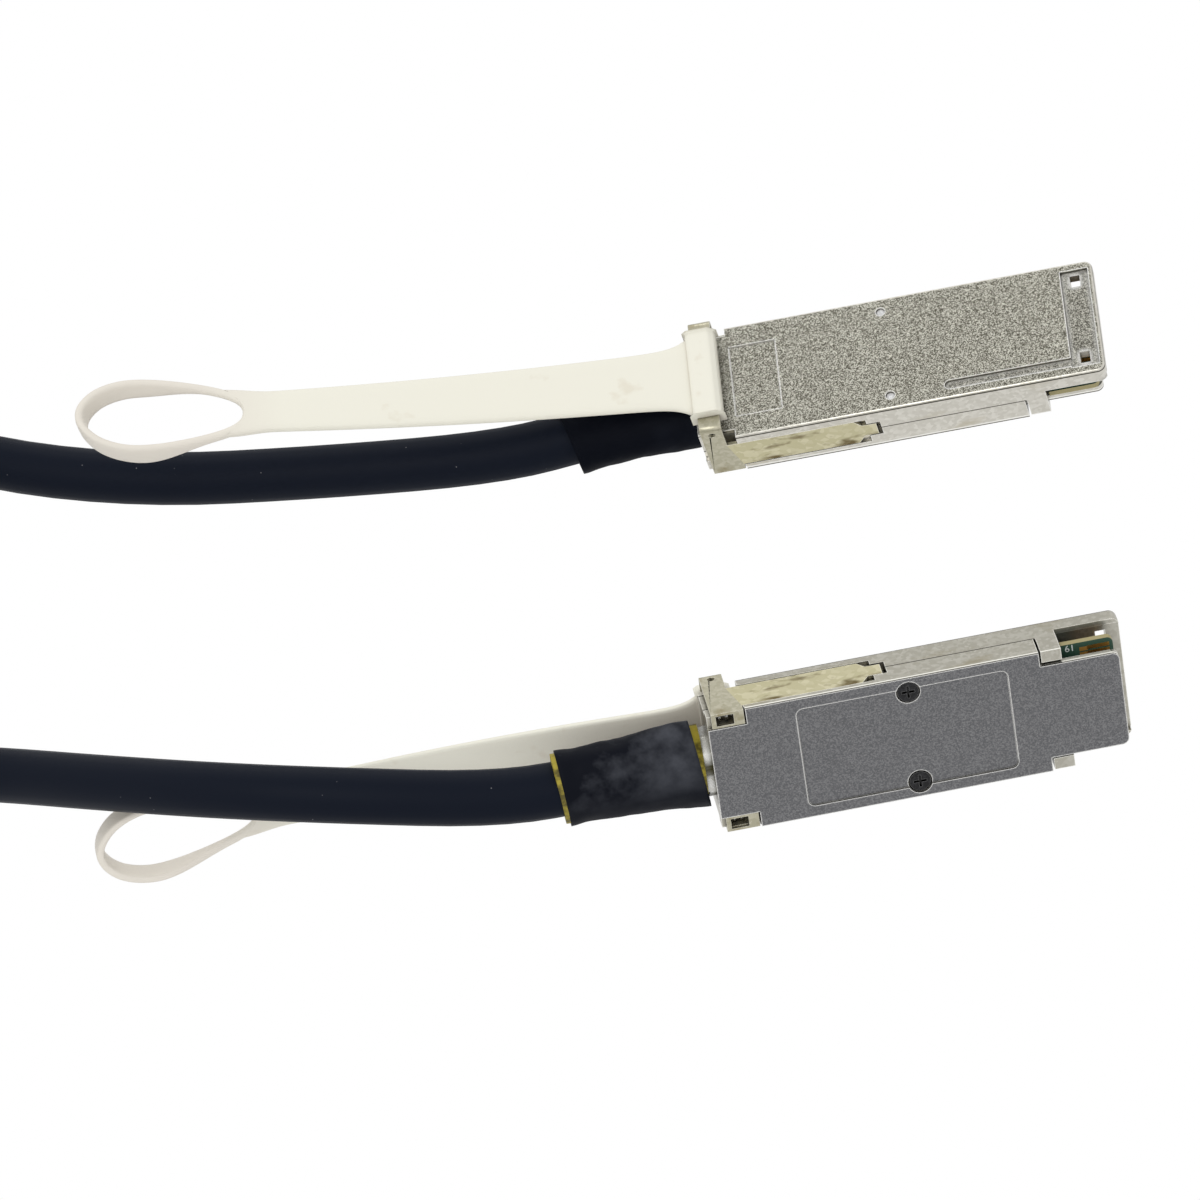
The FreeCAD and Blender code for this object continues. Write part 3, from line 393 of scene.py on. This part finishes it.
EAR_FRONT = -53.5
BROAD = 0.9


def latch_face(middle, normal, letter):
    """The broad faces of the arms are stained; the ears, the bar, the flanges and all edges are cleaner."""
    return ear_sheet if middle.x < EAR_FRONT or abs(normal.y) < BROAD else latch_sheet


dress("latch_frame", [latch_sheet, ear_sheet], latch_face, edge=0.00006)
spring_wire = plated(
    "spring wire", dark=(0.62, 0.62, 0.60), light=(0.75, 0.75, 0.73), grain=0.5, edge=(0.8, 0.8, 0.8),
    hollow=(0.2, 0.2, 0.2), metallic=1.0, roughness=0.2)
dress("latch_springs", [spring_wire])


# ---- Pull tabs: one cream moulding each, a saddle over the latch's bar, a bowed strap and a finger ring
# The ring's band gets deeper towards its end. Places run along the strap from the saddle, in mm.
def plain(name, colour, metallic, roughness, specular=0.5):
    """A material of one colour."""
    made = bpy.data.materials.new(name)
    made.use_nodes = True
    surface = made.node_tree.nodes["Principled BSDF"]
    surface.inputs["Base Color"].default_value = (*colour, 1)
    surface.inputs["Metallic"].default_value = metallic
    surface.inputs["Roughness"].default_value = roughness
    surface.inputs["Specular IOR Level"].default_value = specular
    return made


def ease(low, high, value):
    """0 at low, 1 at high, and a soft step between."""
    share = min(max((value - low) / (high - low), 0.0), 1.0)
    return share * share * (3 - 2 * share)


def skin(sections, ends="open"):
    """Points and faces over sections of equally many points; the ends are "open", "flat" or "joined"."""
    count = len(sections[0])
    total = count * len(sections)
    faces = []
    for row in range(len(sections) - (ends != "joined")):
        here = row * count
        there = (row + 1) * count % total
        for corner in range(count):
            after = (corner + 1) % count
            faces.append((here + corner, here + after, there + after, there + corner))
    if ends == "flat":
        faces += [tuple(range(count - 1, -1, -1)), tuple(range(total - count, total))]
    return [point for section in sections for point in section], faces


def joined(parts):
    """One list of points and one of faces, from several."""
    points, faces = [], []
    for part_points, part_faces in parts:
        faces += [tuple(len(points) + corner for corner in face) for face in part_faces]
        points += part_points
    return points, faces


def new_piece(name, points, faces, material, place, smooth=True):
    """A mesh piece from points in mm of the plug's frame, or one set into it, at place.

    It keeps the points in mm for its material, and its mesh lies in the row frame."""
    mesh = bpy.data.meshes.new(name)
    mesh.from_pydata([place @ (0.001 * Vector(point)) for point in points], [], faces)
    mesh.materials.append(material)
    for face in mesh.polygons:
        face.use_smooth = smooth
    kept = mesh.attributes.new("plug_mm", "FLOAT_VECTOR", "POINT")
    for point, value in zip(points, kept.data):
        value.vector = point
    made = bpy.data.objects.new(name, mesh)
    scene.collection.objects.link(made)
    return made


CREAM, DUST_CREAM = (0.885, 0.865, 0.755), (0.82, 0.78, 0.66, 1)
RING_END_CREAM, SHADED_CREAM = (0.79, 0.735, 0.66, 1), (0.52, 0.48, 0.41, 1)
cream = plain("cream moulding", CREAM, 0.0, 0.55, 0.35)
tree = cream.node_tree
places = plug_place(tree)
cloud = add_node(tree, "ShaderNodeTexNoise", {"Scale": 0.26, "Detail": 3.0, "Vector": places})
colour = blend(tree, share_between(tree, cloud.outputs["Fac"], 0.62, 0.72), (*CREAM, 1), DUST_CREAM)
along = add_node(tree, "ShaderNodeSeparateXYZ", {0: places}).outputs["X"]
# a darker, pinker cream towards the ring's end
colour = blend(tree, share_between(tree, along, -113.0, -124.0, most=0.8), colour, RING_END_CREAM)
shade = add_node(tree, "ShaderNodeGroup", node_tree=edges)
shade.inputs["Reach"].default_value = 0.009
colour = blend(tree, shade.outputs["Hollow"], colour, SHADED_CREAM)
tree.links.new(colour, tree.nodes["Principled BSDF"].inputs["Base Color"])

SADDLE_REAR, SADDLE_FRONT, SADDLE_HALF, SADDLE_ROUNDING = -57.6, -53.3, 6.9, 0.0003
SADDLE_SIDE = [  # seen from the side, as (x, z)
    (SADDLE_REAR, 10.2), (SADDLE_FRONT, 10.2), (SADDLE_FRONT, 11.7), (SADDLE_FRONT - 0.9, 12.6),
    (SADDLE_REAR + 0.5, 12.6), (SADDLE_REAR, 12.1)]
STRAP_START, STRAP_HEIGHT, STRAP_BOW = -57.2, 11.3, 0.0011
STRAP_ROWS = 48
STRAP_REACH, CORNER_REACH = 60.9, 2.9
STRAP_EDGE = [  # one way around, as (share of the half width, height in mm)
    (-1, -0.3), (-0.95, -0.6), (-0.5, -0.6), (0, -0.6), (0.5, -0.6), (0.95, -0.6), (1, -0.3),
    (1, 0.3), (0.95, 0.6), (0.5, 0.6), (0, 0.6), (-0.5, 0.6), (-0.95, 0.6), (-1, 0.3)]
RING_PATH = [  # the middle of the band on one side, as (along, across)
    (60.9, 0.0), (61.6, 1.8), (63.8, 3.2), (67.8, 4.4), (73.0, 5.3), (77.2, 5.3), (80.6, 4.1), (82.7, 2.1),
    (83.4, 0.0)]
RING_HALF_BAND, RING_STEPS = 0.62, 6


def strap_place(u, y, z, rise, sway):
    """A place along, across and above a bowed strap; rise is per mm of the way, sway per mm squared."""
    return STRAP_START - u, y + sway * u * u, STRAP_HEIGHT + rise * u + STRAP_BOW * u * u + z


def strap_section(share, rise, sway):
    """A section of the strap: it tapers, widens into the saddle and the ring, and ends hollow at the ring."""
    section = []
    for across, above in STRAP_EDGE:
        u = share * (STRAP_REACH + CORNER_REACH * abs(across) ** 1.8)
        taper = 1.75 * (1 - u / 64)
        root = 1.7 * math.exp(-u / 1.8)
        flare = 0.75 * ease(57.5, 63.8, u)
        half = 3.05 + taper + root + flare
        section.append(strap_place(u, across * half, above, rise, sway))
    return section


def curve_through(before, first, second, after, share):
    """Place and direction on a smooth curve, a share of the way from the first point to the second."""
    squared = 2 * before - 5 * first + 4 * second - after
    cubed = 3 * first - before - 3 * second + after
    place = 0.5 * (2 * first + (second - before) * share + squared * share * share + cubed * share ** 3)
    heading = 0.5 * ((second - before) + 2 * squared * share + 3 * cubed * share * share)
    return place, heading.normalized()


def ring_sections(rise, sway):
    """The ring's band all the way around its path, 2.5 mm deeper at its end."""
    loop = RING_PATH + [(u, -y) for u, y in RING_PATH[-2:0:-1]]
    sections = []
    for number in range(len(loop)):
        near = [Vector(loop[(number + step) % len(loop)]) for step in (-1, 0, 1, 2)]
        for step in range(RING_STEPS):
            middle, heading = curve_through(*near, step / RING_STEPS)
            outward = Vector((-heading.y, heading.x))
            low = -0.6 - 2.5 * ease(65.5, 76.0, middle.x)
            sections.append([
                strap_place(*(middle + outward * side * RING_HALF_BAND), above, rise, sway)
                for side, above in ((-1, low + 0.25), (-0.6, low), (0.6, low), (1, low + 0.25),
                                    (1, 0.25), (0.6, 0.62), (-0.6, 0.62), (-1, 0.25))])
    return sections


for letter, rise, sway in (("a", 0.13, 0.0), ("b", 0.15, 0.0016)):
    strap_rows = [strap_section(row / STRAP_ROWS, rise, sway) for row in range(STRAP_ROWS + 1)]
    strap = new_piece(f"tab_strap_{letter}", *joined([
        skin(strap_rows), skin(ring_sections(rise, sway), "joined")]), cream, PLUGS[letter])
    moulding = strap.modifiers.new("smooth moulding", "SUBSURF")
    moulding.levels = 1
    moulding.render_levels = 1
    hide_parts(f"pull_tab_{letter}")

    points, faces = skin([[(x, y, z) for x, z in SADDLE_SIDE] for y in (-SADDLE_HALF, SADDLE_HALF)])
    near_side = tuple(range(len(SADDLE_SIDE)))
    far_side = tuple(range(len(points) - 1, len(SADDLE_SIDE) - 1, -1))
    saddle = new_piece(f"tab_saddle_{letter}", points, [*faces, near_side, far_side], cream, PLUGS[letter],
                       smooth=False)
    corners = saddle.modifiers.new("round edges", "BEVEL")
    corners.width = SADDLE_ROUNDING
    corners.segments = 3
    corners.harden_normals = True
    for item in (strap, saddle):
        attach(item, f"latch_{letter}")


# ---- Paddle cards: green printed circuit boards clamped between the castings, a number printed underneath
# Gold plated fingers end each card at the nose, and bare traces lead to them.
HOUSINGS = "cable_and_housings"
mask_green = plain("green mask", (0.03, 0.075, 0.05), 0.0, 0.35)
board_edge = plain("board edge", (0.38, 0.33, 0.16), 0.0, 0.6)
gold_plate = plain("gold plate", (0.72, 0.40, 0.10), 1.0, 0.3)
bare_trace = plain("bare traces", (0.45, 0.23, 0.05), 0.5, 0.4)
moulded_chip = plain("moulded chip", (0.012, 0.012, 0.012), 0.0, 0.5)
print_white = plain("white print", (0.75, 0.8, 0.78), 0.0, 0.6)


def card_face(middle, normal, letter):
    """Both faces have the green mask; the cut edges are bare board."""
    return mask_green if abs(normal.z) > BROAD else board_edge


dress("paddle_card", [mask_green, board_edge], card_face)
dress("card_contacts", [gold_plate])
dress("memory_chip", [moulded_chip])

NUMBER_SIZE = 0.0014
NUMBER_PLACE = (-0.0068, -0.0080, 0.002735)
READ_FROM_BELOW = Matrix.Diagonal((-1, 1, -1, 1))
TRACE_REAR, TRACE_FRONT, TRACE_HALF, TRACE_PITCH = -6.2, -5.05, 0.3, 0.788
TRACE_LAYERS = [(2.73, 2.745), (3.755, 3.77)]
TRACE_CORNERS = [(TRACE_REAR, -TRACE_HALF), (TRACE_FRONT, -TRACE_HALF), (TRACE_FRONT, TRACE_HALF),
                 (TRACE_REAR, TRACE_HALF)]
for letter, place in PLUGS.items():
    digits = bpy.data.curves.new(f"card number {letter}", "FONT")
    digits.body = "19"
    digits.size = NUMBER_SIZE
    digits.materials.append(print_white)
    number = bpy.data.objects.new(f"card_number_{letter}", digits)
    number.matrix_world = place @ Matrix.Translation(NUMBER_PLACE) @ READ_FROM_BELOW
    scene.collection.objects.link(number)
    traces = new_piece(f"bare_traces_{letter}", *joined([
        skin([[(x, TRACE_PITCH * finger + side, z) for x, side in TRACE_CORNERS] for z in layer], "flat")
        for finger in range(-9, 10) for layer in TRACE_LAYERS]), bare_trace, place, smooth=False)
    for item in (number, traces):
        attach(item, HOUSINGS)


# ---- Crimp ferrules: bright turned and flattened steel behind each plug, crimped over the cable's shield
# The eight shielded wire pairs run from each ferrule to its card, inside the castings.
# The long dark streaks along the ferrule are a painted reflection, and the dark tone reaching far into its
# hollows is painted shade.
ferrule_steel = plated(
    "bright ferrule", dark=(0.72, 0.71, 0.66), light=(0.95, 0.95, 0.93), grain=1.4, edge=(0.9, 0.9, 0.88),
    hollow=(0.03, 0.027, 0.012), metallic=0.9, roughness=0.2, reach=0.0022,
    stain_and_reflection_streak=(0.05, 0.045, 0.015), patch=(0.05, 0.33, 0.33), level=0.47)
pair_foil = plain("pair foil", (0.4, 0.5, 0.65), 0.0, 0.4)
dress("crimp_ferrule", [ferrule_steel], edge=0.0002)
dress("wire_pairs", [pair_foil])


# ---- Wrapped ends: yellow tape around the ferrule and the cable, and a black shrink sleeve over it
# The sleeve has shrunk unevenly over the shields below, is cut aslant, and is a little wider at its free end.
CABLE_EXIT = (-0.0594, 0.0, 0.00425)
AROUND = 48
MOST_LUMP_UP = 0.08
SLEEVE_ROWS, SLEEVE_TALL, SLEEVE_INSIDE = 40, 4.15, 0.93


def patched(name, clean, dust_and_sheen, scale, low, high, specular, share_towards_plus_y=1.0):
    """A dull material with soft patches of a second tone, fewer on the side towards +Y by the last argument's
    share; on sleeve b the patches are dust and a painted sheen.
    """
    made = plain(name, clean, 0.0, 0.55, specular)
    tree = made.node_tree
    places = plug_place(tree)
    cloud = add_node(tree, "ShaderNodeTexNoise", {
        "Scale": scale, "Detail": 5.0, "Roughness": 0.6, "Vector": places})
    across = add_node(tree, "ShaderNodeSeparateXYZ", {0: places}).outputs["Y"]
    side = add_node(tree, "ShaderNodeMapRange", {
        "Value": across, "From Min": -2.0, "From Max": 2.5, "To Min": 1.0, "To Max": share_towards_plus_y}).outputs[0]
    # patches of dust and, on sleeve b, a painted sheen
    dust_and_sheen_patches = maths(tree, "MULTIPLY", share_between(tree, cloud.outputs["Fac"], low, high), side)
    colour = blend(tree, dust_and_sheen_patches, (*clean, 1), (*dust_and_sheen, 1))
    tree.links.new(colour, tree.nodes["Principled BSDF"].inputs["Base Color"])
    return made


def lump(x, angle, seed):
    """How far the sleeve stands out, in mm, over the uneven shields."""
    large = noise.noise(Vector((0.22 * x, 1.6 * math.cos(angle), 1.6 * math.sin(angle) + seed)))
    small = noise.noise(Vector((0.6 * x, 4 * math.cos(angle), 4 * math.sin(angle))))
    return max(0.22 * large + 0.1 * small + 0.06, -0.1)


def oval(x, wide, tall, slant=0.0, seed=None):
    """A section across the cable at x mm from its exit, cut aslant by slant, with lumps by a seed."""
    section = []
    for corner in range(AROUND):
        angle = math.tau * corner / AROUND
        here = x + slant * math.cos(angle)
        more = 0.0 if seed is None else lump(here, angle, seed)
        section.append((here, (wide + more) * math.cos(angle),
                        (tall + min(more, MOST_LUMP_UP)) * math.sin(angle)))
    return section


def wrap(letter, turned, root, root_slant, end, end_slant, tape_end, rubber, seed):
    """The tape and the sleeve of one plug, from the root at the ferrule to the free end.

    Both are turned by so many degrees with the cable."""
    place = PLUGS[letter] @ Matrix.Translation(CABLE_EXIT) @ Matrix.Rotation(math.radians(turned), 4, "Z")
    rows = []
    for row in range(SLEEVE_ROWS + 1):
        share = row / SLEEVE_ROWS
        over_shields = 0.4 * ease(0.5, 0.0, share)
        free_end = 0.35 * ease(0.85, 1.0, share)
        wide = 6.0 - 0.8 * share + over_shields + free_end
        slant = root_slant + (end_slant - root_slant) * share
        rows.append(oval(root + (end - root) * share, wide, SLEEVE_TALL, slant, seed))
    painted_shade_lines = [[(x, y * SLEEVE_INSIDE, z * SLEEVE_INSIDE) for x, y, z in row] for row in (rows[0], rows[-1])]
    sleeve = new_piece(f"sleeve_{letter}", *skin([painted_shade_lines[0], *rows, painted_shade_lines[1]]), rubber, place)
    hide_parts(f"heat_shrink_{letter}")
    tape = new_piece(f"tape_{letter}", *skin([
        oval(0.7, 4.7, 3.4), oval(0.7, 5.55, 3.9), oval(tape_end, 5.1, 3.95, end_slant),
        oval(tape_end, 3.9, 3.85, end_slant)]), tape_yellow, place)
    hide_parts(f"tape_collar_{letter}")
    for item, slot in ((sleeve, "sleeve_black"), (tape, "tape_yellow")):
        for face in item.data.polygons:
            face.use_smooth = abs(face.normal.x) < 0.7
        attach(item, HOUSINGS)


tape_yellow = patched("yellow tape", (0.42, 0.34, 0.035), (0.10, 0.08, 0.008),
                      scale=0.45, low=0.45, high=0.6, specular=0.5)
# Both sleeves are the same black rubber. Sleeve b's pale patches are dust and a painted sheen, kept mostly to
# one side so that it looks lit; sleeve a's patches are faint.
faint_patch_sleeve = patched("shrink sleeve a", (0.003, 0.004, 0.0075), (0.008, 0.010, 0.016),
                       scale=0.09, low=0.45, high=0.75, specular=0.04)
dust_and_sheen_sleeve = patched("shrink sleeve b", (0.004, 0.005, 0.009), (0.08, 0.085, 0.10),
                       scale=0.085, low=0.46, high=0.70, specular=0.06, share_towards_plus_y=0.1)
wrap("a", turned=5.5, root=0.5, root_slant=-0.9, end=-17.1, end_slant=-1.0, tape_end=-16.0,
     rubber=faint_patch_sleeve, seed=7)
wrap("b", turned=0.0, root=0.3, root_slant=0.7, end=-18.5, end_slant=0.35, tape_end=-19.1,
     rubber=dust_and_sheen_sleeve, seed=0)


# ---- Cable: one rubber jacketed cord from ferrule to ferrule, through the put-away coil
# Its free runs follow the points below; the coil's turns are worked out by the loop, in two columns and
# three layers. A few bits of lint lie on the jacket.
CABLE_DIAMETER = 0.0076
JACKET, LINT = (0.006, 0.0085, 0.016), (0.16, 0.16, 0.17, 1)
jacket_rubber = plain("cable rubber", JACKET, 0.0, 0.5, 0.06)
tree = jacket_rubber.node_tree
places = add_node(tree, "ShaderNodeTexCoord").outputs["Object"]
bits = add_node(tree, "ShaderNodeTexVoronoi", {"Scale": 900.0, "Vector": places})
chance = add_node(tree, "ShaderNodeSeparateColor", {0: bits.outputs["Color"]}).outputs[0]
lint = maths(tree, "MULTIPLY", share_between(tree, bits.outputs["Distance"], 0.10, 0.05),
             share_between(tree, chance, 0.88, 0.92))
tree.links.new(blend(tree, lint, (*JACKET, 1), LINT), tree.nodes["Principled BSDF"].inputs["Base Color"])

RUN_A = [
    CABLE_EXIT, (-0.07284, -0.00129, 0.00425), (-0.08628, -0.00259, 0.00425), (-0.112, 0.0006, 0.00395),
    (-0.138, 0.0046, 0.00395), (-0.163, 0.0134, 0.00395), (-0.189, 0.0295, 0.0041),
]
RUN_B = [
    *(PLUG_B @ Vector((x, 0, 0.00425)) for x in (-0.0594, -0.0729, -0.0864)),
    (-0.1091, -0.0676, 0.0300), (-0.1253, -0.0630, 0.0291), (-0.1425, -0.0545, 0.0224),
    (-0.1603, -0.0442, 0.0132), (-0.1820, -0.0376, 0.0110), (-0.2090, -0.0372, 0.0148),
]
COIL_X, COIL_Y, COIL_START = -0.240, 0.008, math.radians(65)
FIRST_LAYER, LAYER_STEP = 0.00465, 0.0066
TURNS, STEPS_PER_TURN = 5.55, 24
RADIUS_AT = [  # at so many turns, the radius in mm of the outer or the inner column
    (0, 46.0), (0.8, 46.0), (1.2, 38.4), (2.9, 38.4), (3.3, 46.0),
    (3.8, 46.0), (4.15, 38.4), (4.9, 38.4), (5.3, 46.0), (5.55, 46.0)]
LAYER_AT = [(0, 0), (1.85, 0), (2.2, 1), (3.75, 1), (4.1, 2), (5.55, 2)]  # at so many turns, the layer


def between(done, knots):
    """The value at a number of turns, straight between the knots (turns, value)."""
    for (start, low), (stop, high) in zip(knots, knots[1:]):
        if done <= stop:
            return low + (high - low) * (done - start) / (stop - start)
    return knots[-1][1]


coil = []
for step in range(int(TURNS * STEPS_PER_TURN) + 1):
    done = step / STEPS_PER_TURN
    radius = between(done, RADIUS_AT) / 1000
    angle = COIL_START + done * math.tau
    coil.append((COIL_X + radius * math.cos(angle), COIL_Y + radius * math.sin(angle),
                 FIRST_LAYER + LAYER_STEP * between(done, LAYER_AT)))
route = RUN_A + coil + RUN_B[::-1]
curve = bpy.data.curves.new("cable", "CURVE")
curve.dimensions = "3D"
line = curve.splines.new("NURBS")
line.points.add(len(route) - 1)
for point, place in zip(line.points, route):
    point.co = (*place, 1)
line.order_u = 3
line.use_endpoint_u = True
line.resolution_u = 5
curve.bevel_depth = CABLE_DIAMETER / 2
curve.bevel_resolution = 6
curve.use_fill_caps = True
curve.materials.append(jacket_rubber)
cable = bpy.data.objects.new("cable", curve)
scene.collection.objects.link(cable)
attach(cable, HOUSINGS)
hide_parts("cable_run_a", "cable_run_b", "cable_coil")


# ---- Cable tie: a black hook-and-loop strap around the coil, its free end lying over the top
# The loop is the CAD node. The free end is a bent strip, drawn in the strap's own frame: it lies on the loop
# from the outside of the coil inwards, gets narrower and curls up a little over the hole.
tie_fabric = plain("hook and loop", (0.012, 0.012, 0.014), 0.0, 0.9, 0.2)
tie = nodes["cable_tie"]
tie.data.materials.clear()
tie.data.materials.append(tie_fabric)
TIE_ANGLE, TIE_THICK = math.radians(150), 0.8
FREE_END = [  # radius from the coil's middle, height and half width, in mm
    (47.0, 22.46, 5.2), (41.0, 22.46, 5.2), (36.0, 22.5, 5.2), (32.5, 22.7, 5.2), (30.2, 23.1, 5.0),
    (28.6, 23.6, 4.4), (27.6, 24.0, 3.2)]
AROUND_STRIP = [(-1, 0), (-1, TIE_THICK), (1, TIE_THICK), (1, 0)]
points, faces = skin([[(radius / 1000, side * half / 1000, (height + above) / 1000)
                       for side, above in AROUND_STRIP] for radius, height, half in FREE_END], "flat")
strip = bpy.data.meshes.new("strap end")
strip.from_pydata(points, [], faces)
strip.materials.append(tie_fabric)
strap_end = bpy.data.objects.new("strap_end", strip)
strap_end.matrix_world = Matrix.Translation((COIL_X, COIL_Y, 0)) @ Matrix.Rotation(TIE_ANGLE, 4, "Z")
scene.collection.objects.link(strap_end)
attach(strap_end, HOUSINGS)
